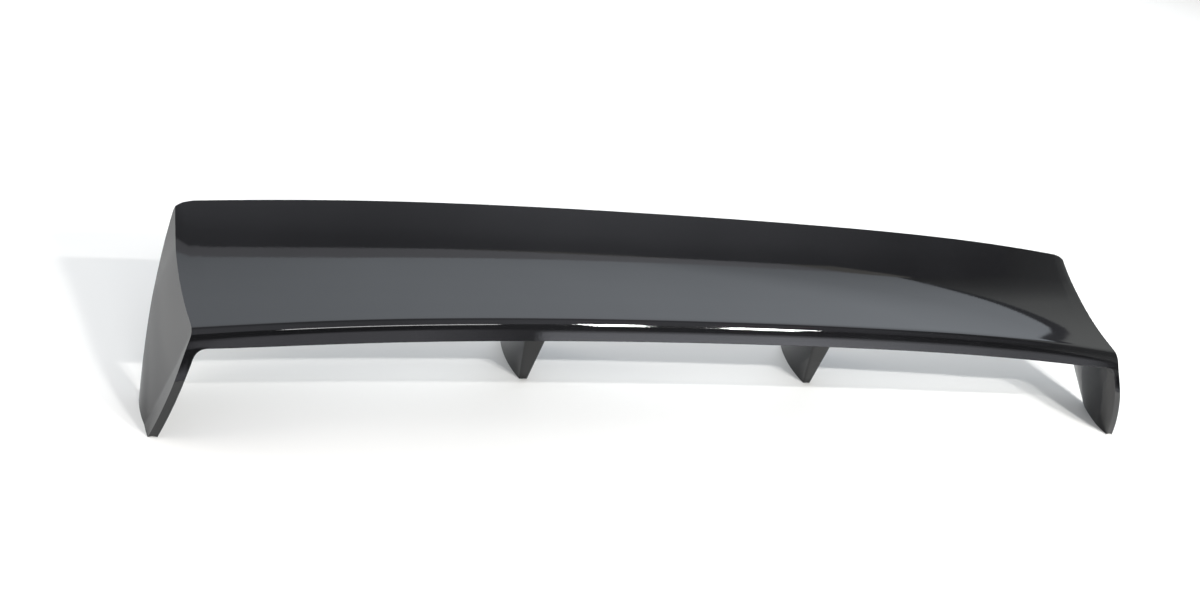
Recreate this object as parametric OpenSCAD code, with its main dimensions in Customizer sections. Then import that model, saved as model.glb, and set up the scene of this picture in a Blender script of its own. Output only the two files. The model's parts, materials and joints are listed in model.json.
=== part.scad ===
// Racing rear wing: hollow glass-fibre blade with end plates, end legs and two centre legs.
// +X is across the car, +Y is rearward, +Z is up. The feet stand on z = 0.

/* [Blade] */
// Half width of the blade at its front corners
half_span = 600; // [560:10:640]
// Height of the front edge at the middle
centre_height = 155; // [150:1:165]
// How far the front edge drops from the middle to the ends
crown = 36; // [30:1:38]
// Set-back of the front edge at the middle
centre_set = 6; // [0:1:12]
// Set-back of the front edge at the ends
end_set = 18; // [12:1:22]
// Front-to-back length of the blade at the middle
centre_chord = 165; // [155:1:175]
// Front-to-back length of the blade at the ends
end_chord = 181; // [175:1:188]
// Rise from front edge to rear edge at the middle
centre_rise = 52; // [45:1:58]
// Rise from front edge to rear edge at the ends
end_rise = 49; // [42:1:54]
// Height of the front lip
lip_height = 22; // [20:0.5:26]
// How far the lip's foot stands forward of the nose
lip_lean = 7; // [2:0.5:8]
// Radius of the lip's rounded top corner
nose_radius = 11; // [8:0.5:12]
// Share of the rise that is a straight slope
lead_slope = 0.15; // [0.05:0.05:0.4]
// Power of the curve that lifts the rear edge
sweep_power = 2.5; // [1.8:0.1:3]

/* [End legs] */
// Outward bow of the crease between blade and end plate
crease_bow = 12.5; // [8:0.5:16]
// Outward lean of the end leg, per unit of height
leg_flare = 0.31; // [0.25:0.005:0.32]
// Growth of that lean towards the rear, per millimetre
leg_twist = 0.0001; // [0:0.0001:0.0006]
// Outward bulge of the end leg's outer face
leg_bulge = 3; // [0:0.5:4]
// Width of the leg's front edge
leg_edge = 9.5; // [8:0.5:11]
// Extra width of the leg at its belly
leg_belly = 5.5; // [4.5:0.5:7]
// Rear end of the flat sole
sole_rear = 62; // [58:1:70]
// Forward bulge of the leg's front edge
front_bulge = 11; // [6:1:13]
// Rearward bulge of the leg's rear edge
rear_bulge = 19; // [10:1:20]

/* [Centre legs] */
// Distance of a centre leg from the middle, at its foot
centre_leg_x = 200; // [180:1:230]
// Front end of its foot
centre_foot_front = 109; // [104:1:116]
// Length of its foot
centre_foot_length = 94; // [92:1:96]
// Width of its nose at the foot
centre_nose_foot = 10; // [7:0.5:11]
// Width of its nose under the blade
centre_nose_top = 50; // [40:1:54]

/* [Laminate and fixings] */
// Thickness of every moulded skin
skin = 2.5; // [2:0.1:2.6]
// Radius of the tapped holes in the feet
tap_radius = 2.5; // [2:0.5:2.5]
// Depth of the tapped holes
tap_depth = 14; // [10:1:16]

/* [Hidden] */
$fn = 48;

gloss_black = [0.06, 0.06, 0.065];
paste_grey = [0.35, 0.37, 0.38];
foam_cream = [0.86, 0.8, 0.6];
block_ply = [0.7, 0.55, 0.36];
bare_metal = [0.75, 0.76, 0.78];

stations = 32;            // spanwise steps of a blade skin
chord_steps = 20;         // steps of a blade skin from front to rear
rear_thickness = 2 * skin;
corner_start = 0.985;     // station where the rounding of the rear corners begins
corner_set = 1;           // it takes this much off at the end plate's inner face
corner_drop = 1.2;
end_lift = 1.5;           // the front edge turns up a little at its very ends
end_lift_power = 12;
lip_fade = 3;             // the lip is this much lower at its very ends
lip_fade_power = 12;
crease_length = 132;      // distance behind the front corner where the crease stops bowing
crease_power = 1.5;
end_height = centre_height - crown + end_lift;
tip_y = end_set + end_chord - corner_set;
tip_z = end_height + end_rise - corner_drop;
toe_y = -3;               // front end of the end leg's sole

function mix(a, b, f) = a + (b - a) * f;
function arch(f) = 4 * f * (1 - f);

// The sections below count y from the end feet; the part is moved forward to centre it on y = 0
bulge_place = (1 - (end_set - toe_y) / (4 * front_bulge)) / 2;
foremost_y = mix(toe_y, end_set, bulge_place) - front_bulge * arch(bulge_place);
middle_y = (foremost_y + centre_foot_front + centre_foot_length) / 2;

// ---- Blade: a is the station from -1 (left end) to 1 (right end), t runs from front edge to rear edge

function front_y(a) = centre_set + (end_set - centre_set) * (0.25 * pow(a, 2) + 0.75 * pow(a, 4));
function front_z(a) = centre_height - crown * (0.53 * pow(a, 2) + 0.47 * pow(a, 4))
    + end_lift * pow(a, end_lift_power);
function corner(a) = pow(max(0, (abs(a) - corner_start) / (1 - corner_start)), 2);
function chord(a) = mix(centre_chord, end_chord, a * a) - corner_set * corner(a);
function rise(a) = mix(centre_rise, end_rise, a * a) - corner_drop * corner(a);
function camber(t) = lead_slope * t + (1 - lead_slope) * pow(t, sweep_power);
function lip(a) = lip_height - lip_fade * pow(a, lip_fade_power);
function depth(a, t) = mix(lip(a), rear_thickness, t);
function top(a, t) = [front_y(a) + chord(a) * t, front_z(a) + rise(a) * camber(t)];
function bottom(a, t) = top(a, t) - [0, depth(a, t)];
function lip_foot(a) = [front_y(a) - lip_lean, front_z(a) - lip(a)];

// ---- End plate and leg: surfaces given as x for a place (y, z) on the right-hand side

function crease_t(y) = min(1, max(0, (y - end_set) / (tip_y - end_set)));
function crease_z(y) = end_height + (tip_z - end_height) * camber(crease_t(y));
function crease_x(y) = half_span + crease_bow
    * (1 - pow(max(0, 1 - (max(y, end_set) - end_set) / crease_length), crease_power));
function lean(y) = leg_flare + leg_twist * y;
function outer_x(y, z) = let (down = crease_z(y) - z)
    crease_x(y) + lean(y) * down + leg_bulge * arch(leg_place(y, z)) * min(1, max(0, down / crease_z(y)));
function leg_front(z) = mix(toe_y, end_set, min(1, z / end_height))
    - front_bulge * arch(min(1, z / end_height));
arc_top = tip_z - rear_thickness;
function leg_rear(z) = mix(sole_rear, tip_y, min(1, z / arc_top)) + rear_bulge * arch(min(1, z / arc_top));
function leg_place(y, z) = min(1, max(0, (y - leg_front(z)) / (leg_rear(z) - leg_front(z))));
rear_taper = 2;
function leg_width(y, z) = leg_edge + leg_belly * arch(leg_place(y, z)) - rear_taper * leg_place(y, z);
function inner_x(y, z) = outer_x(y, z) - leg_width(y, z);

// A blade point: its section point at station a, spread across to meet the end plate's inner face
function blade_point(a, here, at_end) = [a * inner_x(at_end[0], at_end[1]), here[0], here[1]];

// ---- Closed solids from two facing grids of points

function placed(grid) = [for (row = grid) for (p = row) p - [0, middle_y, 0]];

module slab(front_grid, back_grid) {
    rows = len(front_grid);
    cols = len(front_grid[0]);
    half = rows * cols;
    sheet = [for (i = [0:rows - 2]) for (j = [0:cols - 2]) let (k = i * cols + j)
        each [[k, k + cols + 1, k + 1], [k, k + cols, k + cols + 1]]];
    back = [for (f = sheet) [f[2] + half, f[1] + half, f[0] + half]];
    first_row = [for (j = [0:cols - 2]) each [[j, j + 1, j + half], [j + 1, j + 1 + half, j + half]]];
    last = (rows - 1) * cols;
    last_row = [for (j = [0:cols - 2]) let (k = last + j)
        each [[k + 1, k, k + half], [k + 1, k + half, k + 1 + half]]];
    first_col = [for (i = [0:rows - 2]) let (k = i * cols)
        each [[k + cols, k, k + half], [k + cols, k + half, k + cols + half]]];
    last_col = [for (i = [0:rows - 2]) let (k = i * cols + cols - 1)
        each [[k, k + cols, k + half], [k + cols, k + cols + half, k + half]]];
    polyhedron(concat(placed(front_grid), placed(back_grid)),
        concat(sheet, back, first_row, last_row, first_col, last_col));
}

// A tube wall between an outer and an inner stack of closed loops
module ring_wall(outer_loops, inner_loops) {
    rows = len(outer_loops);
    cols = len(outer_loops[0]);
    half = rows * cols;
    wall = [for (i = [0:rows - 2]) for (j = [0:cols - 1])
        let (k = i * cols + j, n = i * cols + (j + 1) % cols)
        each [[k, n + cols, n], [k, k + cols, n + cols]]];
    inside = [for (f = wall) [f[2] + half, f[1] + half, f[0] + half]];
    foot = [for (j = [0:cols - 1]) let (n = (j + 1) % cols)
        each [[j, n, j + half], [n, n + half, j + half]]];
    last = (rows - 1) * cols;
    head = [for (j = [0:cols - 1]) let (k = last + j, n = last + (j + 1) % cols)
        each [[n, k, k + half], [n, k + half, n + half]]];
    polyhedron(concat(placed(outer_loops), placed(inner_loops)), concat(wall, inside, foot, head));
}

// A solid stack of convex closed loops
module stack(loops) {
    rows = len(loops);
    cols = len(loops[0]);
    wall = [for (i = [0:rows - 2]) for (j = [0:cols - 1])
        let (k = i * cols + j, n = i * cols + (j + 1) % cols)
        each [[k, n + cols, n], [k, k + cols, n + cols]]];
    last = (rows - 1) * cols;
    foot = [for (j = [1:cols - 2]) [0, j, j + 1]];
    head = [for (j = [1:cols - 2]) [last, last + j + 1, last + j]];
    polyhedron(placed(loops), concat(wall, foot, head));
}

module left_side() mirror([1, 0, 0]) children();

// ---- Blade skins, adhesive lines and cores

function rounded(a, b, c, f) = (1 - f) * (1 - f) * a + 2 * f * (1 - f) * b + f * f * c;
nose_steps = 6;
face_steps = 3;

// Section line of the upper skin from rear edge to lip foot; inset moves it inward by the skin
function upper_line(a, inset) =
    let (corner = top(a, 0) + [inset, -inset],
         start = top(a, nose_radius / chord(a)) - [0, inset],
         face = lip_foot(a) + [inset, 0],
         fall = (face - corner) / norm(face - corner),
         end = corner + fall * nose_radius)
    concat([for (k = [chord_steps:-1:1]) top(a, k / chord_steps) - [0, inset]],
        [for (k = [0:nose_steps]) rounded(start, corner, end, k / nose_steps)],
        [for (k = [1:face_steps]) mix(end, face, k / face_steps)]);

// How far the inside of the lip's leaning face lies behind its foot at a height above the foot
function face_back(a, up) = up * lip_lean / (lip(a) - skin);

// Section line of the lower skin from behind the lip to the rear edge; lift moves it inward
function lower_line(a, lift) =
    concat([lip_foot(a) + [skin + face_back(a, lift), lift]],
        [for (k = [2:chord_steps]) bottom(a, k / chord_steps) + [0, lift]]);

function station_list(from, to, steps) = [for (i = [0:steps]) mix(from, to, i / steps)];

// Stations across the whole blade, closer together towards its ends
crowding = 1.8;
function crowded(u) = sign(u) * (1 - pow(1 - abs(u), crowding));
blade_stations = [for (u = station_list(-1, 1, stations)) crowded(u)];

// A section line spread across to its place at station a, given the same line at the end
function across(a, line, end_line) = [for (k = [0:len(line) - 1]) blade_point(a, line[k], end_line[k])];

module upper_skin() color(gloss_black)
    slab([for (a = blade_stations) across(a, upper_line(a, 0), upper_line(1, 0))],
        [for (a = blade_stations) across(a, upper_line(a, skin), upper_line(1, skin))]);

module lower_skin() color(gloss_black)
    slab([for (a = blade_stations) across(a, lower_line(a, 0), lower_line(1, 0))],
        [for (a = blade_stations) across(a, lower_line(a, skin), lower_line(1, skin))]);

// A solid between the two skins, for t from t0 to t1 at the given stations
module filling(at, t0, t1, t_steps) {
    slab([for (a = at) [for (t = station_list(t1, t0, t_steps))
            blade_point(a, top(a, t) - [0, skin], top(1, t) - [0, skin])]],
        [for (a = at) [for (t = station_list(t1, t0, t_steps))
            blade_point(a, bottom(a, t) + [0, skin], bottom(1, t) + [0, skin])]]);
}

bond_reach = 7;           // how far the front adhesive line reaches behind the lip's face
bond_height = 6;
bond_edge = 1;            // its thickness at the rear
blade_end = 0.955;        // the cores stop here, and adhesive fills the rest
core_front = 0.1;
core_rear = 0.85;
rear_bond_start = 0.87;
rear_bond_end = 0.97;
bulkhead_near = 0.28;
bulkhead_far = 0.39;

// The front adhesive line lies behind the lip's foot, on the lower skin and against the lip's face
function bond_point(a, back, up) = lip_foot(a) + [skin + back + face_back(a, skin + up), skin + up];
function floor_rise(a) = let (next = lower_line(a, skin)[1], first = lower_line(a, skin)[0])
    bond_reach * (next[1] - first[1]) / (next[0] - first[0]);
function bond_low(a) = [bond_point(a, bond_reach, floor_rise(a)), bond_point(a, 0, 0)];
function bond_high(a) = [bond_point(a, bond_reach, floor_rise(a) + bond_edge),
    bond_point(a, 0, bond_height)];

module front_bond() color(paste_grey)
    slab([for (a = blade_stations) across(a, bond_high(a), bond_high(1))],
        [for (a = blade_stations) across(a, bond_low(a), bond_low(1))]);

module rear_bond() color(paste_grey) filling(blade_stations, rear_bond_start, rear_bond_end, 1);
module centre_core() color(foam_cream)
    filling(station_list(-bulkhead_near, bulkhead_near, 9), core_front, core_rear, 10);
module right_core() color(foam_cream)
    filling(station_list(bulkhead_far, blade_end, 9), core_front, core_rear, 10);
module left_core() left_side() right_core();
module right_bulkhead() color(block_ply)
    filling(station_list(bulkhead_near, bulkhead_far, 2), core_front, core_rear, 10);
module left_bulkhead() left_side() right_bulkhead();
module right_end_bond() color(paste_grey) filling([blade_end, 1], core_front, core_rear, 10);
module left_end_bond() left_side() right_end_bond();

// ---- End plates and legs: t runs from front to rear, w from the blade down to the sole

sole_share = 0.35;        // part of t that ends on the flat sole
leg_steps = 20;
leg_rows = 14;
rim_t = 0.05;             // the outer skin's return flange covers this much of t and w
rim_w = 0.06;

function leg_top(t) = let (y = mix(end_set, tip_y, t)) [y, crease_z(y)];
function leg_foot(t) = t < sole_share
    ? [mix(toe_y, sole_rear, t / sole_share), 0]
    : let (z = arc_top * (t - sole_share) / (1 - sole_share)) [leg_rear(z), z];
function leg_at(t, w) = mix(leg_top(t), leg_foot(t), w) - [front_bulge * arch(w) * pow(1 - t, 2), 0];
function leg_point(t, w, inset) = let (p = leg_at(t, w)) [outer_x(p[0], p[1]) - inset, p[0], p[1]];
function leg_thick(t, w) = let (p = leg_at(t, w)) leg_width(p[0], p[1]);
function on_rim(t, w) = t < rim_t || t > 1 - rim_t || w < rim_w || (w > 1 - rim_w && t > sole_share);

// Grid lines, doubled where the return flange steps down to the skin
step_gap = 0.004;
leg_ts = concat([0, rim_t - step_gap, rim_t + step_gap], [for (k = [2:leg_steps - 2]) k / leg_steps],
    [1 - rim_t - step_gap, 1 - rim_t + step_gap, 1]);
leg_ws = concat([0, rim_w - step_gap, rim_w + step_gap], [for (k = [2:leg_rows - 2]) k / leg_rows],
    [1 - rim_w - step_gap, 1 - rim_w + step_gap, 1]);

module right_end_outer_skin() color(gloss_black)
    slab([for (t = leg_ts) [for (w = leg_ws) leg_point(t, w, 0)]],
        [for (t = leg_ts) [for (w = leg_ws)
            leg_point(t, w, on_rim(t, w) ? leg_thick(t, w) - skin : skin)]]);

module right_end_inner_skin() color(gloss_black)
    slab([for (t = leg_ts) [for (w = leg_ws) leg_point(t, w, leg_thick(t, w) - skin)]],
        [for (t = leg_ts) [for (w = leg_ws) leg_point(t, w, leg_thick(t, w))]]);

core_gap = 0.02;          // the leg's core stops short of the flange
leg_block_height = 17;
leg_block_front = 9;
leg_block_rear = 52;
function leg_core_end(t) = 1 - rim_w - core_gap - (t < sole_share + rim_t ? 0.12 : 0);

module right_end_core() color(foam_cream) {
    ts = [for (k = [1:9]) mix(rim_t + core_gap, 1 - rim_t - core_gap - 0.1, (k - 1) / 8)];
    slab([for (t = ts) [for (k = [0:6]) leg_point(t, mix(rim_w + core_gap, leg_core_end(t), k / 6), skin)]],
        [for (t = ts) [for (k = [0:6]) let (w = mix(rim_w + core_gap, leg_core_end(t), k / 6))
            leg_point(t, w, leg_thick(t, w) - skin)]]);
}

tap_places = [18, 42];    // y of the two tapped holes in an end foot
function tap_lean(y) = lean(y) + leg_bulge * arch(leg_place(y, 0)) / crease_z(y);
module leg_tap(y) {
    x = outer_x(y, 0) - leg_width(y, 0) / 2;
    translate([x, y - middle_y, 0]) rotate([0, -atan(tap_lean(y)), 0]) translate([0, 0, -tap_depth])
        cylinder(h = 2 * tap_depth, r = tap_radius);
}

module right_end_foot_block() color(bare_metal) difference() {
    ys = station_list(leg_block_front, leg_block_rear, 6);
    zs = station_list(leg_block_height, 0, 3);
    slab([for (y = ys) [for (z = zs) [outer_x(y, z) - skin, y, z]]],
        [for (y = ys) [for (z = zs) [inner_x(y, z) + skin, y, z]]]);
    for (y = tap_places) leg_tap(y);
}

module left_end_outer_skin() left_side() right_end_outer_skin();
module left_end_inner_skin() left_side() right_end_inner_skin();
module left_end_core() left_side() right_end_core();
module left_end_foot_block() left_side() right_end_foot_block();

// ---- Centre legs: closed lens-shaped loops that taper from the blade down to the foot

centre_leg_top_x = centre_leg_x - 3.5;
centre_top_front = 97;
centre_top_length = 65;
centre_foot_yaw = 5;      // the foot's tail lies this much further out than its nose
centre_belly_foot = 6.5;
centre_belly_top = 8;
tail_half = 1.5;
tail_gap = 0.4;           // half width that an inset loop keeps at the tail
side_steps = 9;
bond_thickness = 1;
bond_fillet = 4;          // the adhesive spreads this far round the leg's top

// Half width of the leg at u from nose to tail
function lens_half(u, nose, belly) = tail_half + (nose / 2 - tail_half) * pow(1 - u, 1.5) + belly * arch(u);

// Underside height of the blade over a place (x, y)
function blade_t(a, y) = (y - front_y(a)) / chord(a);
function station_of(x, t) = let (p = bottom(1, t)) x / inner_x(p[0], p[1]);
function underside(x, y) =
    let (guess = blade_t(station_of(x, 0.5), y), a = station_of(x, guess), t = blade_t(a, y))
    front_z(a) + rise(a) * camber(t) - depth(a, t);

// Side point at u: side is 1 for the outer side and -1 for the inner side; grow widens the section
function foot_point(u, side, grow) =
    [centre_leg_x + centre_foot_yaw * u
        + side * max(tail_gap, lens_half(u, centre_nose_foot, centre_belly_foot) + grow),
     centre_foot_front + centre_foot_length * u + grow * (2 * u - 1)];
function head_point(u, side, grow) =
    [centre_leg_top_x + side * max(tail_gap, lens_half(u, centre_nose_top, centre_belly_top) + grow),
     centre_top_front + centre_top_length * u + grow * (2 * u - 1)];

// The same at height share h, from 0 at the floor to 1 at the leg's top, which is drop below the blade
function side_point(u, side, h, grow, drop) =
    let (foot = foot_point(u, side, grow), head = head_point(u, side, grow))
    [mix(foot[0], head[0], h), mix(foot[1], head[1], h), (underside(head[0], head[1]) - drop) * h];
lens_order = concat([for (k = [0:side_steps]) [k / side_steps, 1]],
    [for (k = [side_steps:-1:0]) [k / side_steps, -1]]);
function leg_loop(h, grow, drop) = [for (s = lens_order) side_point(s[0], s[1], h, grow, drop)];

block_share = 0.12;       // height share of the foot block
block_end = 0.9;          // the foot block stops short of the tail
leg_levels = [0, block_share, 0.34, 0.56, 0.78, 1];

module right_centre_leg_skin() color(gloss_black)
    ring_wall([for (h = leg_levels) leg_loop(h, 0, bond_thickness)],
        [for (h = leg_levels) leg_loop(h, -skin, bond_thickness)]);

module right_centre_leg_core() color(foam_cream)
    stack([for (k = [1:len(leg_levels) - 1]) leg_loop(leg_levels[k], -skin, bond_thickness)]);

centre_tap_places = [140, 172];
module centre_tap(y) {
    x = centre_leg_x + centre_foot_yaw * (y - centre_foot_front) / centre_foot_length;
    translate([x, y - middle_y, -tap_depth]) cylinder(h = 2 * tap_depth, r = tap_radius);
}

module right_centre_foot_block() color(bare_metal) difference() {
    us = station_list(0, block_end, side_steps);
    slab([for (u = us) [for (h = [block_share, 0]) side_point(u, 1, h, -skin, bond_thickness)]],
        [for (u = us) [for (h = [block_share, 0]) side_point(u, -1, h, -skin, bond_thickness)]]);
    for (y = centre_tap_places) centre_tap(y);
}

module right_centre_leg_bond() color(paste_grey)
    stack([leg_loop(1, 0, bond_thickness), leg_loop(1, bond_fillet, 0)]);

module left_centre_leg_skin() left_side() right_centre_leg_skin();
module left_centre_leg_core() left_side() right_centre_leg_core();
module left_centre_foot_block() left_side() right_centre_foot_block();
module left_centre_leg_bond() left_side() right_centre_leg_bond();

upper_skin();
lower_skin();
front_bond();
rear_bond();
left_core();
centre_core();
right_core();
left_bulkhead();
right_bulkhead();
left_end_bond();
right_end_bond();
left_end_outer_skin();
right_end_outer_skin();
left_end_inner_skin();
right_end_inner_skin();
left_end_core();
right_end_core();
left_end_foot_block();
right_end_foot_block();
left_centre_leg_skin();
right_centre_leg_skin();
left_centre_leg_core();
right_centre_leg_core();
left_centre_foot_block();
right_centre_foot_block();
left_centre_leg_bond();
right_centre_leg_bond();
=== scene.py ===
import json
import math

import bmesh
import bpy
import numpy as np
from mathutils import Matrix, Vector


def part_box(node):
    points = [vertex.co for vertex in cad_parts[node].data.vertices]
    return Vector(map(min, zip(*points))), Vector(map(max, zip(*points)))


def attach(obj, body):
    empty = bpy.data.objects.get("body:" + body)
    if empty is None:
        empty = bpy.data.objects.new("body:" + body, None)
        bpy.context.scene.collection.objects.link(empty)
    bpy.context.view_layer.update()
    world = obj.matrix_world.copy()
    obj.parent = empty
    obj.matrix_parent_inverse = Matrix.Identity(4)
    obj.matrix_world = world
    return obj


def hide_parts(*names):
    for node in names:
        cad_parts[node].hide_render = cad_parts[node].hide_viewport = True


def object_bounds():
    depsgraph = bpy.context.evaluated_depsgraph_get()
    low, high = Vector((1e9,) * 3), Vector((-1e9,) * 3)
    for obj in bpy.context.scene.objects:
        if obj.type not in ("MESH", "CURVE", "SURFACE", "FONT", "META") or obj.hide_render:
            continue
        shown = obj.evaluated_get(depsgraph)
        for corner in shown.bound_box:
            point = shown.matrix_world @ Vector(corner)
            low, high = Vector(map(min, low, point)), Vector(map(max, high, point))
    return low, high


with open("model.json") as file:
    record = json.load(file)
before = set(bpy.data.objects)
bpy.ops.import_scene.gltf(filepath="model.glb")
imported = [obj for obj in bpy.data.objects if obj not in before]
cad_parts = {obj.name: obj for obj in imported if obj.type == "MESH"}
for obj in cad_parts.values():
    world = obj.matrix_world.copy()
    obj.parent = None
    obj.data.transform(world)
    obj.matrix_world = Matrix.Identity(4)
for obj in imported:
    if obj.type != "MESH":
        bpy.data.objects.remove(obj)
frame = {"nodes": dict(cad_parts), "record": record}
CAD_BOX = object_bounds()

# A racing rear wing in gloss black gelcoat. The frame's axes are +X across, +Y rearward, +Z up.
# The shape functions below are in millimetres, in the CAD's own sections; make_object() scales
# them to metres and moves them forward to the frame's origin.

MM = 0.001

# ---------------------------------------------------------------- driving sizes, in millimetres

UPPER_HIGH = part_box("upper_skin")[1]
LEG_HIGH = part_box("right_centre_leg_skin")[1]

CENTRE_RISE = 52.0
END_RISE = 49.0
CENTRE_HEIGHT = UPPER_HIGH.z / MM - CENTRE_RISE
CROWN = 36.0
HALF_SPAN = 600.0
CENTRE_SET = 6.0
END_SET = 18.0
CENTRE_CHORD = 165.0
END_CHORD = 181.0
LIP_HEIGHT = 22.0
LIP_LEAN = 7.0
LIP_FADE = 3.0
LIP_FADE_POWER = 12
NOSE_RADIUS = 11.0
REAR_THICKNESS = 5.0
LEAD_SLOPE = 0.15      # share of the rise that is a straight slope
SWEEP_POWER = 2.5      # power of the curve that lifts the rear edge
SET_ROUND = 0.25       # share of the front edge's set-back that grows with a**2, the rest with a**4
CROWN_ROUND = 0.53     # the same share for its drop towards the ends
CORNER_START = 0.985
CORNER_SET = 1.0
CORNER_DROP = 1.2
CORNER_FADE = 6
END_LIFT = 1.5
END_LIFT_POWER = 12
CREASE_BOW = 12.5
CREASE_LENGTH = 132.0
CREASE_POWER = 1.5
LEG_FLARE = 0.31
LEG_TWIST = 0.0001
LEG_BULGE = 3.0
LEG_EDGE = 9.5
LEG_BELLY = 5.5
SOLE_REAR = 62.0
TOE = -3.0
FRONT_BULGE = 11.0
REAR_BULGE = 19.0
REAR_TAPER = 2.0
END_HEIGHT = CENTRE_HEIGHT - CROWN + END_LIFT
TIP_Y = END_SET + END_CHORD - CORNER_SET
TIP_Z = END_HEIGHT + END_RISE - CORNER_DROP
ARC_TOP = TIP_Z - REAR_THICKNESS
FOOT_REAR = 203.0
MIDDLE_Y = FOOT_REAR - LEG_HIGH.y / MM

FILLET = 10.0          # radius between the blade's underside and the end plate
TOE_ARCH = 1.5         # the front edge of a foot is hollowed by this much
TOE_FADE = 6.0         # the hollow fades over this length of the sole
TOE_ROWS = (1, 0.45, 0.12)  # and over the lowest rows of the front edge
LIP_EASE = 40.0        # the leg's front edge leaves the lip's foot over this height
EDGE_ROUND = 1.6       # rounding of the moulding's sharp edges
GEL_COAT = 0.6         # thickness of the shells that are shown
WING_SHARP = math.radians(26)   # edges that turn by more than this are rounded
LEG_SHARP = math.radians(40)    # edges of a centre leg that stay crisp


def mix(a, b, f):
    return a + (b - a) * f


def arch(f):
    return 4 * f * (1 - f)


# ---------------------------------------------------------------- blade sections
# a is the station from -1 (left end) to 1 (right end); t runs from the front edge to the rear.

def front_y(a):
    return CENTRE_SET + (END_SET - CENTRE_SET) * (SET_ROUND * a**2 + (1 - SET_ROUND) * a**4)


def front_z(a):
    drop = CROWN * (CROWN_ROUND * a**2 + (1 - CROWN_ROUND) * a**4)
    return CENTRE_HEIGHT - drop + END_LIFT * a**END_LIFT_POWER


def corner(a):
    return np.clip((np.abs(a) - CORNER_START) / (1 - CORNER_START), 0, 1) ** 2


def beyond(a, t):
    """Past the end station, over the end plate's edge, only the rear corner rounds off further."""
    over = np.maximum(0, ((np.abs(a) - CORNER_START) / (1 - CORNER_START)) ** 2 - 1)
    return np.where(np.abs(a) > 1, over, 0) * np.abs(t) ** CORNER_FADE


def chord(a):
    return mix(CENTRE_CHORD, END_CHORD, a * a) - CORNER_SET * corner(a)


def rise(a):
    return mix(CENTRE_RISE, END_RISE, a * a) - CORNER_DROP * corner(a)


def lip(a):
    return LIP_HEIGHT - LIP_FADE * a**LIP_FADE_POWER


def camber(t):
    return LEAD_SLOPE * t + (1 - LEAD_SLOPE) * np.abs(t) ** SWEEP_POWER


def depth(a, t):
    return mix(lip(a), REAR_THICKNESS, t)


def yz(y, z):
    return np.stack(np.broadcast_arrays(y, z), axis=-1).astype(float)


def top(a, t):
    y = front_y(a) + chord(a) * t - CORNER_SET * beyond(a, t)
    return yz(y, front_z(a) + rise(a) * camber(t) - CORNER_DROP * beyond(a, t))


def bottom(a, t):
    return top(a, t) - yz(0, depth(a, t))


def lip_foot(a):
    return yz(front_y(a) - LIP_LEAN, front_z(a) - lip(a))


# ---------------------------------------------------------------- end plates and end legs

def crease_t(y):
    return np.clip((y - END_SET) / (TIP_Y - END_SET), 0, 1)


def crease_z(y):
    return END_HEIGHT + (TIP_Z - END_HEIGHT) * camber(crease_t(y))


def crease_x(y):
    behind = np.maximum(0, 1 - (np.maximum(y, END_SET) - END_SET) / CREASE_LENGTH)
    return HALF_SPAN + CREASE_BOW * (1 - behind**CREASE_POWER)


def leg_front(z):
    f = np.minimum(1, z / END_HEIGHT)
    return mix(TOE, END_SET, f) - FRONT_BULGE * arch(f)


def leg_rear(z):
    f = np.minimum(1, z / ARC_TOP)
    return mix(SOLE_REAR, TIP_Y, f) + REAR_BULGE * arch(f)


def leg_place(y, z):
    return np.clip((y - leg_front(z)) / (leg_rear(z) - leg_front(z)), 0, 1)


def outer_x(y, z):
    down = crease_z(y) - z
    bulge = LEG_BULGE * arch(leg_place(y, z)) * np.clip(down / crease_z(y), 0, 1)
    return crease_x(y) + (LEG_FLARE + LEG_TWIST * y) * down + bulge


def leg_width(y, z):
    place = leg_place(y, z)
    return LEG_EDGE + LEG_BELLY * arch(place) - REAR_TAPER * place


def inner_x(y, z):
    return outer_x(y, z) - leg_width(y, z)


def bezier(a, b, c, f):
    return (1 - f) ** 2 * a + 2 * f * (1 - f) * b + f**2 * c


# ---------------------------------------------------------------- the wing's outer surface, as grids

SPAN_STEPS = 56        # stations from the middle to one end
TOP_POINTS = 60        # rows from the nose to the rear edge
NOSE_STEPS = 8
FACE_STEPS = 4
FILLET_STEPS = 6
LEG_STEPS = 30
STRIP_STEPS = 4        # columns across the front edge of an end leg
STATION_POWER = 1.4    # stations crowd towards the ends
RIM_POWER = 0.9        # rows crowd towards the foot of an end plate's rear edge
CREASE_PASSES = 20     # passes that settle the crease's stations
INNER_SHARE = 0.14     # where the column beside the inner corner lies, across the edge


def upper_line(a):
    """Section line of the upper skin, rear edge to lip foot, for an array of stations."""
    a = np.asarray(a, float)[..., None]
    start_t = NOSE_RADIUS / chord(a)
    t = mix(1.0, start_t, np.linspace(0, 1, TOP_POINTS))
    nose_corner = top(a, 0 * a)
    foot = lip_foot(a)
    start = top(a, start_t)
    fall = foot - nose_corner
    end = nose_corner + fall * (NOSE_RADIUS / np.linalg.norm(fall, axis=-1, keepdims=True))
    f = np.linspace(0, 1, NOSE_STEPS + 1)[1:, None]
    nose = bezier(start, nose_corner, end, f)
    g = np.linspace(0, 1, FACE_STEPS + 1)[1:, None]
    return np.concatenate([top(a, t), nose, mix(end, foot, g)], axis=-2)


END_LINE = upper_line(1.0)
LINE_X = inner_x(END_LINE[:, 0], END_LINE[:, 1])
FILLET_STATION = 1 - FILLET / LINE_X[-1]


def crease_stations():
    """Station at which each point of the section line meets the end plate's outer face."""
    a = np.ones(len(LINE_X))
    for _ in range(CREASE_PASSES):
        at = np.diagonal(upper_line(a), axis1=0, axis2=1)
        a = outer_x(at[0], at[1]) / LINE_X
    return a


def half_stations():
    u = np.linspace(0, 1, SPAN_STEPS + 1)
    return FILLET_STATION * (1 - (1 - u) ** STATION_POWER)


def mirrored(grid):
    return grid * np.array([-1.0, 1.0, 1.0])


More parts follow.
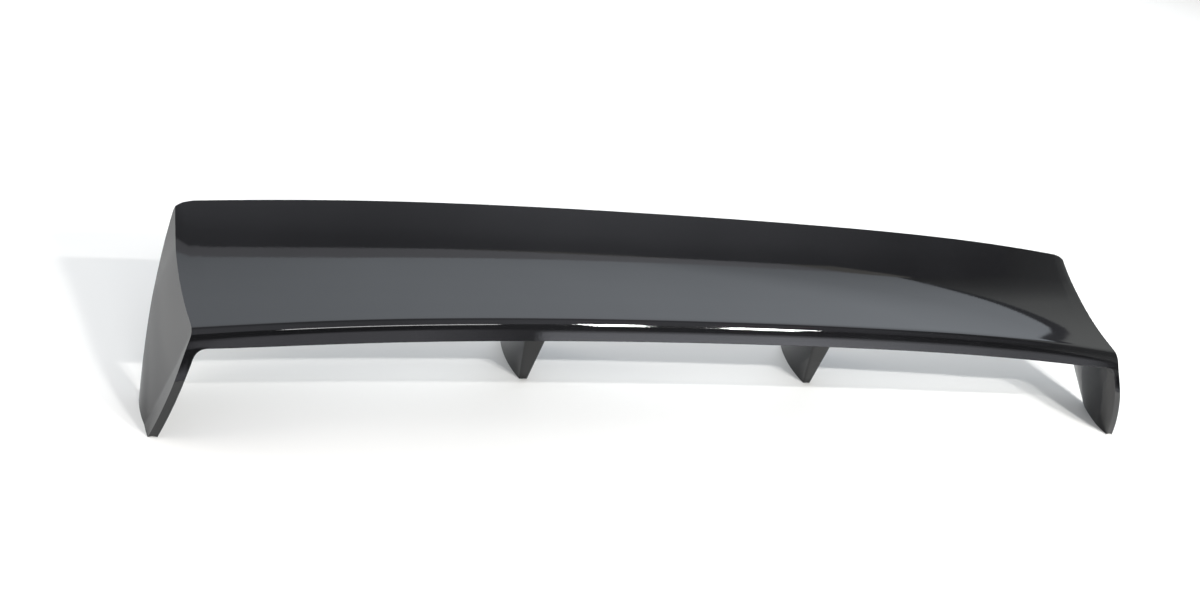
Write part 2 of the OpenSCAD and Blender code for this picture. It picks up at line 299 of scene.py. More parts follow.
def upper_grid():
    """Upper sheet from the centre plane to the outer crease: stations by line points."""
    edge = crease_stations()
    strip = [1 + (edge - 1) * q for q in np.linspace(0, 1, STRIP_STEPS + 1)]
    rows = [np.full(len(LINE_X), a) for a in half_stations()] + strip
    grid = []
    for a in rows:
        at = np.diagonal(upper_line(a), axis1=0, axis2=1)
        grid.append(np.stack([a * LINE_X, at[0], at[1]], axis=-1))
    return np.array(grid)


UPPER = upper_grid()
FILLET_COLUMN = SPAN_STEPS


def strip_front(z, y_top, z_top):
    """y of the leg's front edge, starting from the lip's foot and easing onto the leg's curve."""
    f = np.clip((z_top - z) / LIP_EASE, 0, 1)
    ease = 1 - f * f * (3 - 2 * f)
    return leg_front(z) + (y_top - leg_front(z_top)) * ease


def strip_grid():
    """Front edge of an end leg, from the lip's foot to the toe: rows by columns, inner to outer."""
    top_row = UPPER[FILLET_COLUMN:, -1]
    cols = len(top_row)
    share = np.concatenate([[0.0], np.linspace(INNER_SHARE, 1, cols - 1)])
    top_share = (top_row[:, 0] - top_row[0, 0]) / (top_row[-1, 0] - top_row[0, 0])
    inner_corner = top_row[1, [0, 2]]
    rows = [top_row]
    below = inner_corner[1] - FILLET
    arc_start = top_row[0, [0, 2]]
    arc_end = np.array([inner_x(leg_front(below), below), below])
    for k in range(1, FILLET_STEPS + LEG_STEPS + 1):
        if k <= FILLET_STEPS:
            f = k / FILLET_STEPS
            inner_at, inner_z = bezier(arc_start, inner_corner, arc_end, f)
            outer_z = mix(top_row[-1, 2], below, f)
        else:
            f = (k - FILLET_STEPS) / LEG_STEPS
            inner_z = outer_z = below * (1 - f)
            inner_at = None
        blend = min(1.0, k / FILLET_STEPS)
        place = mix(top_share, share, blend)
        z = mix(inner_z, outer_z, place)
        y = strip_front(z, top_row[:, 1], top_row[:, 2])
        inside = inner_x(y[0], inner_z) if inner_at is None else inner_at
        outside = outer_x(y[-1], outer_z)
        rows.append(np.stack([mix(inside, outside, place), y, z], axis=-1))
    rows = np.array(rows)
    rise_up = TOE_ARCH * arch(share)
    for k, part in enumerate(TOE_ROWS, start=1):
        rows[-k][:, 2] += rise_up * part
    return rows, share


STRIP, SHARE = strip_grid()

OUTLINE_POINTS = TOP_POINTS + (NOSE_STEPS + FACE_STEPS + len(STRIP)) - 2
UNDER_POINTS = OUTLINE_POINTS - (LEG_STEPS + 1) + 1
SOLE_STEPS = 26


def outline(side_x, top_z):
    """Sole and rear arc of an end plate, toe to tip, on its outer or inner face."""
    toe_y = STRIP[-1, 0, 1] if side_x is inner_x else STRIP[-1, -1, 1]
    sole = np.linspace(toe_y, SOLE_REAR, SOLE_STEPS + 1)
    z = np.linspace(0, 1, OUTLINE_POINTS - SOLE_STEPS)[1:] ** RIM_POWER * top_z
    y = np.concatenate([sole, leg_rear(z)])
    z = np.concatenate([0 * sole, z])
    return np.stack([side_x(y, z), y, z], axis=-1)


def under_grid():
    """Underside from the centre plane to the fillet, and the fillet itself: stations by rows."""
    t = np.linspace(0, 1, UNDER_POINTS)

    def line(a):
        a = np.asarray(a, float)[..., None]
        return np.concatenate([lip_foot(a), bottom(a, t[1:])], axis=-2)

    end = line(1.0)
    end_x = inner_x(end[:, 0], end[:, 1])
    radius = FILLET * (1 - t**3)
    last = 1 - radius / end_x
    grid = []
    for a in half_stations() / FILLET_STATION:
        at = np.diagonal(line(a * last), axis1=0, axis2=1)
        grid.append(np.stack([a * last * end_x, at[0], at[1]], axis=-1))
    grid = np.array(grid)
    corner = np.stack([end_x, end[:, 0], end[:, 1]], axis=-1)
    down = end[:, 1] - radius
    below = np.stack([inner_x(end[:, 0], down), end[:, 0], down], axis=-1)
    below[0] = STRIP[FILLET_STEPS][0]
    turns = np.linspace(0, 1, FILLET_STEPS + 1)
    fillet = np.array([bezier(grid[-1], corner, below, f) for f in turns])
    fillet[:, 0] = STRIP[: FILLET_STEPS + 1, 0]
    return grid, fillet


UNDER, FILLETS = under_grid()


def lengths(line):
    steps = np.linalg.norm(np.diff(line, axis=0), axis=-1)
    total = np.concatenate([[0], np.cumsum(steps)])
    return total / total[-1]


def patch(over, under, fore, aft, side_x):
    """A face of the end plate inside four boundary lines, laid on the surface side_x(y, z)."""
    u = 0.5 * (lengths(over) + lengths(under))[:, None, None]
    v = 0.5 * (lengths(fore) + lengths(aft))[None, :, None]
    o, n, f, a = over[:, None], under[:, None], fore[None], aft[None]
    corners = mix(mix(over[0], under[0], v), mix(over[-1], under[-1], v), u)
    grid = mix(o, n, v) + mix(f, a, u) - corners
    inside = grid[1:-1, 1:-1]
    inside[..., 0] = side_x(inside[..., 1], inside[..., 2])
    grid[:, 0], grid[:, -1], grid[0], grid[-1] = over, under, fore, aft
    return grid


def plate_grids():
    edge = UPPER[-1]
    over = edge[:TOP_POINTS][::-1]
    fore = np.concatenate([edge[TOP_POINTS - 1:], STRIP[1:, -1]])
    low_tip = edge[0] - np.array([0, 0, REAR_THICKNESS])
    outside = outline(outer_x, low_tip[2])
    outside[-1] = [outer_x(low_tip[1], low_tip[2]), low_tip[1], low_tip[2]]
    aft = np.concatenate([edge[:1], outside[TOP_POINTS - 1:][::-1]])
    outer = patch(over, outside[:TOP_POINTS], fore, aft, outer_x)
    inside = outline(inner_x, ARC_TOP)
    inside[-1] = FILLETS[-1, -1]
    aft = inside[UNDER_POINTS - 1:][::-1]
    inner = patch(FILLETS[-1], inside[:UNDER_POINTS], STRIP[FILLET_STEPS:, 0], aft, inner_x)
    edge_strip = np.array([mix(inside, outside, q) for q in SHARE])
    edge_strip[:, 0] = STRIP[-1]
    hollow = TOE_ARCH * arch(SHARE)[:, None] * np.exp(-(outside[None, :, 1] - TOE) / TOE_FADE)
    edge_strip[:, 1:SOLE_STEPS, 2] += hollow[:, 1:SOLE_STEPS]
    return outer, inner, edge_strip


OUTER, INNER, EDGE = plate_grids()


def rear_grid():
    """The thin rear face, from the centre plane to the outer corner: columns by rows."""
    above = UPPER[:, 0]
    below = np.concatenate([UNDER[:, -1], EDGE[1:, -1]])
    return np.array([above, below]).transpose(1, 0, 2)


REAR = rear_grid()

# ---------------------------------------------------------------- pieces from the grids

UPPER_TAG, LOWER_TAG, RIGHT_OUTER, RIGHT_INNER, LEFT_OUTER, LEFT_INNER = range(6)


def add_grid(bm, grid, tag):
    rows, cols = grid.shape[:2]
    verts = [[bm.verts.new(Vector(p)) for p in row] for row in grid]
    for i in range(rows - 1):
        for j in range(cols - 1):
            face = bm.faces.new((verts[i][j], verts[i][j + 1], verts[i + 1][j + 1], verts[i + 1][j]))
            face.material_index = tag
            face.smooth = True


def sharp_edges(bm, limit):
    return [e for e in bm.edges if len(e.link_faces) == 2 and e.calc_face_angle() > limit]


def wing_mesh():
    """The whole wing but its centre legs, as one closed mesh with rounded edges."""
    bm = bmesh.new()
    for side, outer_tag, inner_tag in ((1, RIGHT_OUTER, RIGHT_INNER), (-1, LEFT_OUTER, LEFT_INNER)):
        turn = (lambda g: g) if side > 0 else mirrored
        add_grid(bm, turn(UPPER), UPPER_TAG)
        add_grid(bm, turn(REAR), UPPER_TAG)
        add_grid(bm, turn(UNDER), LOWER_TAG)
        add_grid(bm, turn(FILLETS), inner_tag)
        add_grid(bm, turn(STRIP), outer_tag)
        add_grid(bm, turn(OUTER), outer_tag)
        add_grid(bm, turn(EDGE), outer_tag)
        add_grid(bm, turn(INNER), inner_tag)
    bmesh.ops.remove_doubles(bm, verts=bm.verts, dist=0.02)
    bmesh.ops.dissolve_degenerate(bm, edges=bm.edges, dist=0.01)
    bmesh.ops.recalc_face_normals(bm, faces=bm.faces)
    bmesh.ops.bevel(bm, geom=sharp_edges(bm, WING_SHARP), offset=EDGE_ROUND, offset_type="OFFSET",
                    segments=3, profile=0.5, affect="EDGES", clamp_overlap=True)
    bmesh.ops.recalc_face_normals(bm, faces=bm.faces)
    for f in bm.faces:
        f.smooth = True
    return bm


def weighted_normals(bm):
    """Vertex normals weighted by face area, so broad faces stay true beside narrow roundings."""
    normals = {}
    for v in bm.verts:
        n = Vector((0, 0, 0))
        for f in v.link_faces:
            n += f.normal * f.calc_area()
        normals[v.index] = n.normalized() if n.length > 0 else v.normal.copy()
    return normals


def shell_object(name, bm, normals, tag):
    """A closed thin shell from the faces that carry this tag, with the whole wing's normals."""
    faces = [f for f in bm.faces if f.material_index == tag]
    index = {}
    outer, inner, shade = [], [], []
    for f in faces:
        for v in f.verts:
            if v.index not in index:
                index[v.index] = len(outer)
                outer.append(v.co.copy())
                inner.append(v.co - normals[v.index] * GEL_COAT)
                shade.append(normals[v.index])
    n = len(outer)
    polys, corner = [], []
    for f in faces:
        ring = [index[v.index] for v in f.verts]
        polys.append(ring)
        corner += [shade[i] for i in ring]
    for ring in list(polys):
        back = [i + n for i in reversed(ring)]
        polys.append(back)
        corner += [-shade[i - n] for i in back]
    tagged = set(f.index for f in faces)
    for e in bm.edges:
        owners = [f for f in e.link_faces if f.index in tagged]
        if len(owners) == 1:
            ring = [v.index for v in owners[0].verts]
            k = ring.index(e.verts[0].index)
            a, b = e.verts[0].index, e.verts[1].index
            if ring[(k + 1) % len(ring)] != b:
                a, b = b, a
            a, b = index[a], index[b]
            polys.append([b, a, a + n, b + n])
            side = (outer[a] - outer[b]).cross(inner[a] - outer[b]).normalized()
            corner += [side] * 4
    return make_object(name, outer + inner, polys, corner)


def placed(point):
    """A section point in the frame's metres, held inside the CAD model's box."""
    at = (Vector(point) - Vector((0, MIDDLE_Y, 0))) * MM
    return Vector(min(max(c, low), high) for c, low, high in zip(at, *CAD_BOX))


def make_object(name, points, polys, corner_normals=None):
    mesh = bpy.data.meshes.new(name)
    mesh.from_pydata([placed(p) for p in points], [], polys)
    mesh.polygons.foreach_set("use_smooth", [True] * len(mesh.polygons))
    if corner_normals is not None:
        mesh.normals_split_custom_set([tuple(c) for c in corner_normals])
    mesh.update()
    obj = bpy.data.objects.new(name, mesh)
    bpy.context.scene.collection.objects.link(obj)
    return obj


# ---------------------------------------------------------------- centre legs

FOOT_X, FOOT_FRONT, FOOT_LENGTH, FOOT_YAW = 200.0, 109.0, 94.0, 5.0
HEAD_X, HEAD_FRONT, HEAD_LENGTH = 196.5, 97.0, 65.0
NOSE_FOOT, NOSE_HEAD = 10.0, 50.0
BELLY_FOOT, BELLY_HEAD = 6.5, 8.0
TAIL_HALF = 1.5
NOSE_ROUND = 2.6       # radius of the corners beside the flat nose
TAIL_ROUND = 1.2       # the tail is rounded over this length
SPREAD = 5.0           # radius of the fillet between a leg and the underside
LAP = 0.3              # the fillet's last rows reach this far into the underside
SOLE_WALL = 2.5        # width of the flat rim of the sole
SOLE_STEP = 0.6        # the sole's middle is raised by this much
FOOT_FADE = 5.0        # the hollow under the nose fades over this length
NOSE_POWER = 1.5
SIDE_STEPS = 34
ROUND_STEPS = 6
FLAT_STEPS = 3
RISE_STEPS = 24
SPREAD_STEPS = 5


def underside(x, y):
    a = x / HALF_SPAN
    for _ in range(4):
        t = (y - front_y(a)) / chord(a)
        end = bottom(1.0, np.clip(t, 0, 1))
        a = x / inner_x(end[..., 0], end[..., 1])
    t = (y - front_y(a)) / chord(a)
    return front_z(a) + rise(a) * camber(t) - depth(a, t)


def lens(nose, belly, front, length):
    """Half of a leg's section as (half width, y): flat nose, round corner, side, tail."""
    def side(u):
        return TAIL_HALF + (nose / 2 - TAIL_HALF) * (1 - u) ** NOSE_POWER + belly * arch(u)

    def at(u):
        return np.array([side(u), front + length * u])

    flat = np.array([[q * (nose / 2 - NOSE_ROUND), front] for q in np.linspace(0, 1, FLAT_STEPS + 1)])
    turn_u = NOSE_ROUND / length
    turn = [bezier(flat[-1], at(0.0), at(turn_u), f)
            for f in np.linspace(0, 1, ROUND_STEPS + 1)[1:]]
    tail_u = 1 - TAIL_ROUND / length
    sides = [at(u) for u in np.linspace(turn_u, tail_u, SIDE_STEPS + 1)[1:]]
    last = sides[-1]
    tail_end = np.array([0.0, front + length])
    tail_corner = np.array([last[0], front + length])
    tail = [bezier(last, tail_corner, tail_end, f) for f in (0.35, 0.7, 1.0)]
    return np.array(list(flat) + turn + sides + tail)


def closed_loop(half, centre):
    """Both halves joined into one loop; centre(y) is the section's centre line."""
    left = half[-2:0:-1] * np.array([-1.0, 1.0])
    loop = np.concatenate([half, left])
    loop[:, 0] += centre(loop[:, 1])
    return loop


def foot_centre(y):
    return FOOT_X + FOOT_YAW * (y - FOOT_FRONT) / FOOT_LENGTH


def leg_grid():
    """A centre leg from its sole to the fillet under the blade: rows by points around."""
    foot = closed_loop(lens(NOSE_FOOT, BELLY_FOOT, FOOT_FRONT, FOOT_LENGTH), foot_centre)
    head = closed_loop(lens(NOSE_HEAD, BELLY_HEAD, HEAD_FRONT, HEAD_LENGTH), lambda y: HEAD_X)
    head_z = underside(head[:, 0], head[:, 1])
    rows = []
    stop = 1 - SPREAD / head_z
    for h in np.linspace(0, 1, RISE_STEPS + 1):
        f = h * stop
        rows.append(np.column_stack([mix(foot, head, f[:, None]), head_z * f]))
    middle = head.mean(axis=0)
    out = head - middle
    out /= np.linalg.norm(out, axis=1, keepdims=True)
    for k in range(1, SPREAD_STEPS + 1):
        turn = math.radians(90 * k / SPREAD_STEPS)
        f = stop + (1 - stop) * math.sin(turn)
        at = mix(foot, head, f[:, None]) + out * SPREAD * (1 - math.cos(turn))
        z = underside(at[:, 0], at[:, 1]) + LAP
        if k < SPREAD_STEPS:
            z = np.minimum(z, head_z * f)
        rows.append(np.column_stack([at, z]))
    rows = np.array(rows)
    width = np.abs(foot[:, 0] - foot_centre(foot[:, 1])) / (NOSE_FOOT / 2)
    behind = foot[:, 1] - FOOT_FRONT
    hollow = TOE_ARCH * np.clip(1 - width**2, 0, 1) * np.exp(-behind / FOOT_FADE)
    for k, part in enumerate((1.0, 0.25)):
        rows[k][:, 2] += hollow * part
    return rows


def band(low, high, count):
    """Faces between two rings of points that start at these indices."""
    return [[low + j, low + (j + 1) % count, high + (j + 1) % count, high + j] for j in range(count)]


def cap(base, count):
    """Strips across a ring, from each point to its mate on the other half."""
    strips = []
    for j in range(count // 2):
        ring = [base + i for i in (j, j + 1, (count - j - 1) % count, (count - j) % count)]
        strips.append(list(dict.fromkeys(ring)))
    return [ring for ring in strips if len(ring) > 2]


def sole_rim(sole):
    """The sole's outline moved inwards by the width of its flat rim."""
    mates = np.roll(sole[::-1], 1, axis=0)
    centres = 0.5 * (sole + mates)
    spans = np.linalg.norm(sole - centres, axis=1, keepdims=True)
    inset = mix(sole, centres, np.minimum(1.0, SOLE_WALL / np.maximum(spans, 1e-6)))
    inset[:, 2] = sole[:, 2] + 0.02
    return inset


def centre_leg(name, side):
    rows = leg_grid()
    if side < 0:
        rows = mirrored(rows)
    count, around = rows.shape[:2]
    inset = sole_rim(rows[0])
    raised = inset + np.array([0, 0, SOLE_STEP])
    points = np.concatenate([rows.reshape(-1, 3), inset, raised])
    inset_at = count * around
    raised_at = inset_at + around
    polys = cap(raised_at, around) + cap((count - 1) * around, around)
    for i in range(count - 1):
        polys += band(i * around, (i + 1) * around, around)
    polys += band(inset_at, 0, around) + band(raised_at, inset_at, around)
    bm = bmesh.new()
    verts = [bm.verts.new(p) for p in points]
    for ring in polys:
        bm.faces.new([verts[i] for i in ring])
    bmesh.ops.remove_doubles(bm, verts=bm.verts, dist=0.005)
    bmesh.ops.recalc_face_normals(bm, faces=bm.faces)
    for e in sharp_edges(bm, LEG_SHARP):
        e.smooth = False
    for f in bm.faces:
        f.smooth = True
    for v in bm.verts:
        v.co = placed(v.co)
    mesh = bpy.data.meshes.new(name)
    bm.to_mesh(mesh)
    bm.free()
    obj = bpy.data.objects.new(name, mesh)
    bpy.context.scene.collection.objects.link(obj)
    return obj


# ---------------------------------------------------------------- materials

def new_material(name):
    mat = bpy.data.materials.new(name)
    mat.use_nodes = True
    tree = mat.node_tree
    tree.nodes.clear()
    out = tree.nodes.new("ShaderNodeOutputMaterial")
    shader = tree.nodes.new("ShaderNodeBsdfPrincipled")
    tree.links.new(shader.outputs["BSDF"], out.inputs["Surface"])
    return mat, tree, shader


def noise(tree, scale, detail, rough=0.5, stretch=None):
    coord = tree.nodes.new("ShaderNodeTexCoord")
    tex = tree.nodes.new("ShaderNodeTexNoise")
    tex.inputs["Scale"].default_value = scale
    tex.inputs["Detail"].default_value = detail
    tex.inputs["Roughness"].default_value = rough
    if stretch:
        mapping = tree.nodes.new("ShaderNodeMapping")
        mapping.inputs["Scale"].default_value = stretch
        tree.links.new(coord.outputs["Object"], mapping.inputs["Vector"])
        tree.links.new(mapping.outputs["Vector"], tex.inputs["Vector"])
    else:
        tree.links.new(coord.outputs["Object"], tex.inputs["Vector"])
    return tex


def ramp(tree, source, low, high, low_at=0.3, high_at=0.7):
    node = tree.nodes.new("ShaderNodeValToRGB")
    node.color_ramp.elements[0].position = low_at
    node.color_ramp.elements[1].position = high_at
    node.color_ramp.elements[0].color = low
    node.color_ramp.elements[1].color = high
    tree.links.new(source, node.inputs["Fac"])
    return node.outputs["Color"]


def grey(value):
    return (value, value, value, 1)


def bump(tree, shader, height, strength, distance):
    node = tree.nodes.new("ShaderNodeBump")
    node.inputs["Strength"].default_value = strength
    node.inputs["Distance"].default_value = distance
    tree.links.new(height, node.inputs["Height"])
    tree.links.new(node.outputs["Normal"], shader.inputs["Normal"])


def gelcoat():
    """Gloss black with faint mottling, fine orange peel and hazy patches."""
    mat, tree, shader = new_material("gloss_black_gelcoat")
    mottle = noise(tree, scale=9.0, detail=4.0)
    tree.links.new(ramp(tree, mottle.outputs["Fac"], (0.0052, 0.0052, 0.0057, 1), (0.0074, 0.0074, 0.008, 1)),
                   shader.inputs["Base Color"])
    haze = noise(tree, scale=26.0, detail=5.0, rough=0.6)
    tree.links.new(ramp(tree, haze.outputs["Fac"], grey(0.035), grey(0.08), low_at=0.35, high_at=0.8),
                   shader.inputs["Roughness"])
    shader.inputs["IOR"].default_value = 1.54
    peel = noise(tree, scale=420.0, detail=2.0)
    bump(tree, shader, peel.outputs["Fac"], strength=0.05, distance=0.0002)
    return mat


def paste():
    mat, tree, shader = new_material("grey_bonding_paste")
    spots = noise(tree, scale=160.0, detail=5.0, rough=0.6)
    tree.links.new(ramp(tree, spots.outputs["Fac"], (0.07, 0.075, 0.08, 1), (0.13, 0.14, 0.15, 1)),
                   shader.inputs["Base Color"])
    shader.inputs["Roughness"].default_value = 0.6
    bump(tree, shader, spots.outputs["Fac"], strength=0.4, distance=0.0008)
    return mat


def foam():
    mat, tree, shader = new_material("cream_rigid_foam")
    cells = noise(tree, scale=900.0, detail=2.0)
    tree.links.new(ramp(tree, cells.outputs["Fac"], (0.55, 0.45, 0.25, 1), (0.78, 0.68, 0.45, 1)),
                   shader.inputs["Base Color"])
    shader.inputs["Roughness"].default_value = 0.9
    bump(tree, shader, cells.outputs["Fac"], strength=0.6, distance=0.0006)
    return mat


def plywood():
    mat, tree, shader = new_material("birch_plywood")
    grain = noise(tree, scale=60.0, detail=6.0, rough=0.65, stretch=(1.0, 8.0, 8.0))
    tree.links.new(ramp(tree, grain.outputs["Fac"], (0.3, 0.18, 0.08, 1), (0.55, 0.38, 0.2, 1)),
                   shader.inputs["Base Color"])
    shader.inputs["Roughness"].default_value = 0.7
    bump(tree, shader, grain.outputs["Fac"], strength=0.2, distance=0.0004)
    return mat


def milled_metal():
    mat, tree, shader = new_material("milled_aluminium")
    lines = noise(tree, scale=300.0, detail=3.0, rough=0.5, stretch=(1.0, 12.0, 1.0))
    tree.links.new(ramp(tree, lines.outputs["Fac"], (0.6, 0.61, 0.62, 1), (0.8, 0.81, 0.82, 1)),
                   shader.inputs["Base Color"])
    tree.links.new(ramp(tree, lines.outputs["Fac"], grey(0.28), grey(0.42)), shader.inputs["Roughness"])
    shader.inputs["Metallic"].default_value = 1.0
    bump(tree, shader, lines.outputs["Fac"], strength=0.15, distance=0.0002)
    return mat


MATERIALS = {"gelcoat": gelcoat(), "adhesive": paste(), "foam": foam(), "plywood": plywood(),
             "block_metal": milled_metal()}
SLOTS = {s["node"]: s["material_slot"] for s in frame["record"]["subparts"]}
for node_name, node in frame["nodes"].items():
    node.data.materials.clear()
    node.data.materials.append(MATERIALS[SLOTS[node_name]])


def finish_piece(obj, node_name):
    obj.data.materials.clear()
    obj.data.materials.append(MATERIALS["gelcoat"])
    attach(obj, "root")
    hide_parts(node_name)


WING = wing_mesh()
WING.verts.index_update()
WING.faces.index_update()
WING_NORMALS = weighted_normals(WING)
for piece, tag, cad in (("blade_upper_shell", UPPER_TAG, "upper_skin"),
                        ("blade_lower_shell", LOWER_TAG, "lower_skin"),
                        ("right_end_outer_shell", RIGHT_OUTER, "right_end_outer_skin"),
                        ("right_end_inner_shell", RIGHT_INNER, "right_end_inner_skin"),
                        ("left_end_outer_shell", LEFT_OUTER, "left_end_outer_skin"),
                        ("left_end_inner_shell", LEFT_INNER, "left_end_inner_skin")):
    finish_piece(shell_object(piece, WING, WING_NORMALS, tag), cad)
WING.free()
finish_piece(centre_leg("right_centre_leg_shell", 1), "right_centre_leg_skin")
finish_piece(centre_leg("left_centre_leg_shell", -1), "left_centre_leg_skin")

# ---------------------------------------------------------------- studio
# The gloss surface shows its surroundings, so the stage is a ring of self-lit cards: a tall white
# paper behind the wing with a dim rim, a brighter wall above it, a grey wall to the right, a dim
# ceiling, and a dark front whose foot is bright. Thin strip lights draw the lip's highlight.

def graded(tree, axis, stops):
    """A value that follows stops of (metres, level) along one axis of the object."""
    low, high, peak = stops[0][0], stops[-1][0], max(level for _, level in stops)
    coord = tree.nodes.new("ShaderNodeTexCoord")
    parts = tree.nodes.new("ShaderNodeSeparateXYZ")
    tree.links.new(coord.outputs["Object"], parts.inputs["Vector"])
    place = tree.nodes.new("ShaderNodeMapRange")
    place.inputs["From Min"].default_value = low
    place.inputs["From Max"].default_value = high
    tree.links.new(parts.outputs[axis], place.inputs["Value"])
    curve = tree.nodes.new("ShaderNodeValToRGB")
    points = curve.color_ramp.elements
    while len(points) < len(stops):
        points.new(0.5)
    for point, (metres, level) in zip(points, stops):
        point.position = (metres - low) / (high - low)
        point.color = grey(level / peak)
    tree.links.new(place.outputs["Result"], curve.inputs["Fac"])
    return times(tree, curve.outputs["Color"], peak)


def times(tree, first, second):
    node = tree.nodes.new("ShaderNodeMath")
    node.operation = "MULTIPLY"
    tree.links.new(first, node.inputs[0])
    if isinstance(second, float):
        node.inputs[1].default_value = second
    else:
        tree.links.new(second, node.inputs[1])
    return node.outputs["Value"]


def floor_material():
    mat, tree, shader = new_material("white_floor_painted_light")
    shader.inputs["Base Color"].default_value = (0.9, 0.89, 0.86, 1)
    shader.inputs["Roughness"].default_value = 0.7
    shader.inputs["Specular IOR Level"].default_value = 0.2
    # Painted light: the floor glows white. There is no glow forward of y = 0.3 m, and it grows towards the
    # back, so the floor behind the wing is brighter.
    shader.inputs["Emission Color"].default_value = (1, 1, 1, 1)
    tree.links.new(graded(tree, "Y", FLOOR_PAINTED_LIGHT), shader.inputs["Emission Strength"])
    return mat


def card_material(name, colour, across, other_axis, other):
    """A self-lit card whose strength varies across the picture and along one other axis."""
    mat = bpy.data.materials.new(name)
    mat.use_nodes = True
    tree = mat.node_tree
    tree.nodes.clear()
    out = tree.nodes.new("ShaderNodeOutputMaterial")
    glow = tree.nodes.new("ShaderNodeEmission")
    glow.inputs["Color"].default_value = colour
    tree.links.new(glow.outputs["Emission"], out.inputs["Surface"])
    level = times(tree, graded(tree, "X", across), graded(tree, other_axis, other))
    tree.links.new(level, glow.inputs["Strength"])
    return mat


def stage_sheet(name, corners, material):
    mesh = bpy.data.meshes.new(name)
    mesh.from_pydata(corners, [], [tuple(range(len(corners)))])
    obj = bpy.data.objects.new(name, mesh)
    bpy.context.scene.collection.objects.link(obj)
    obj.data.materials.append(material)
    return obj


def upright(y, corners):
    return [(x, y, z) for x, z in corners]


FLOOR_REACH = 16.0
# Strength of the floor's painted light along y, in metres: none at the front, growing behind the wing.
FLOOR_PAINTED_LIGHT = [(0.3, 0.0), (1.2, 0.24), (3.0, 0.3)]
PAPER_Y = 2.6
RIM_Y = 2.62
WALL_Y = 2.85
UPPER_WALL_Z = (6.0, 10.5)
SIDE_X = 9.5
LEFT_X = -9.0
CEILING_Z = 7.0
FRONT_Y = -6.0
FRONT_LEFT_Y = -5.9

stage_sheet("floor", [(-FLOOR_REACH, -FLOOR_REACH, 0), (FLOOR_REACH, -FLOOR_REACH, 0),
                      (FLOOR_REACH, FLOOR_REACH, 0), (-FLOOR_REACH, FLOOR_REACH, 0)], floor_material())

# The paper's outline, anticlockwise from its lower right corner.
PAPER_RIGHT = [(2.5, 0.0), (2.9, 1.4), (3.4, 1.56), (3.79, 1.66), (4.04, 1.76), (4.18, 1.92),
               (4.36, 2.4), (4.64, 3.16), (5.12, 4.57), (5.84, 6.52)]
PAPER_TOP = [(5.4, 7.4), (4.0, 7.9), (2.3, 7.6), (1.0, 7.2), (-0.2, 6.75), (-2.0, 6.5)]
PAPER_LEFT = [(LEFT_X, 6.4), (LEFT_X, 0.0)]
PAPER = card_material(
    "white_paper", (0.918, 0.984, 1.062, 1),
    [(-2.0, 0.72), (-1.0, 0.82), (0.0, 0.93), (1.5, 1.0), (3.0, 0.96), (4.0, 0.74), (6.0, 0.6)],
    "Z", [(1.0, 1.15), (2.0, 1.48), (3.0, 1.82), (4.0, 2.0), (5.5, 2.1), (8.0, 2.05)])
stage_sheet("paper", upright(PAPER_Y, PAPER_RIGHT + PAPER_TOP + PAPER_LEFT), PAPER)

RIM_EDGE = [(3.0, 1.3), (3.6, 1.42), (4.05, 1.55), (4.25, 1.68), (4.38, 1.86), (4.58, 2.4),
            (4.84, 3.16), (5.28, 4.57), (5.93, 6.6), (5.5, 6.6)]
RIM = card_material("paper_rim", (0.95, 0.98, 1.08, 1),
                    [(3.0, 0.12), (7.0, 0.12)], "Z", [(0.0, 1.0), (7.0, 1.0)])
stage_sheet("paper_rim", upright(RIM_Y, RIM_EDGE), RIM)

WALL = card_material("grey_wall", (0.97, 1.0, 0.985, 1),
                     [(4.0, 1.06), (6.0, 0.88), (7.5, 0.7), (9.5, 0.64)],
                     "Z", [(0.0, 0.36), (2.0, 0.5), (3.5, 0.52), (4.5, 0.34), (5.5, 0.22), (7.0, 0.13)])
WALL_OUTLINE = [(2.0, 0.0), (SIDE_X, 0.0), (SIDE_X, CEILING_Z), (5.6, CEILING_Z)]
stage_sheet("wall", upright(WALL_Y, WALL_OUTLINE), WALL)
stage_sheet("side_wall", [(SIDE_X, WALL_Y, 0), (SIDE_X, FRONT_Y, 0), (SIDE_X, FRONT_Y, CEILING_Z),
                          (SIDE_X, WALL_Y, CEILING_Z)], WALL)

UPPER_WALL = card_material("upper_wall", (0.97, 0.98, 1.05, 1),
                           [(-3.0, 0.9), (0.0, 1.0), (3.0, 1.2), (5.0, 1.15), (6.5, 0.85)],
                           "Z", [(z, 1.0) for z in UPPER_WALL_Z])
UPPER_OUTLINE = [(LEFT_X, UPPER_WALL_Z[0]), (5.9, UPPER_WALL_Z[0]), (6.5, UPPER_WALL_Z[1]),
                 (LEFT_X, UPPER_WALL_Z[1])]
stage_sheet("upper_wall", upright(WALL_Y, UPPER_OUTLINE), UPPER_WALL)

CEILING = card_material(
    "dim_ceiling", (0.96, 0.98, 1.07, 1),
    [(-2.0, 0.95), (0.0, 0.8), (2.0, 1.05), (4.0, 0.8), (6.0, 0.46), (8.4, 0.3), (11.0, 0.22)],
    "Y", [(-1.0, 0.66), (0.4, 0.5), (1.3, 0.33), (2.2, 0.26)])
CEILING_PLAN = [(-FLOOR_REACH, FRONT_Y), (SIDE_X, FRONT_Y), (SIDE_X, 3.9), (6.8, 2.95), (5.1, 2.0),
                (2.0, 1.77), (-2.1, 2.2), (-FLOOR_REACH, 2.5)]
stage_sheet("ceiling", [(x, y, CEILING_Z) for x, y in CEILING_PLAN], CEILING)

FRONT = card_material(
    "dark_front", (0.96, 0.98, 1.06, 1),
    [(-1.0, 0.35), (0.2, 0.4), (1.8, 1.0), (3.5, 1.15), (5.0, 0.65), (6.5, 0.4), (9.0, 0.3)],
    "Z", [(0.25, 2.5), (0.4, 1.9), (0.65, 0.7), (1.0, 0.16), (7.0, 0.08)])
FRONT_OUTLINE = [(LEFT_X, 0), (SIDE_X, 0), (SIDE_X, CEILING_Z), (LEFT_X, CEILING_Z)]
stage_sheet("front", upright(FRONT_Y, FRONT_OUTLINE), FRONT)

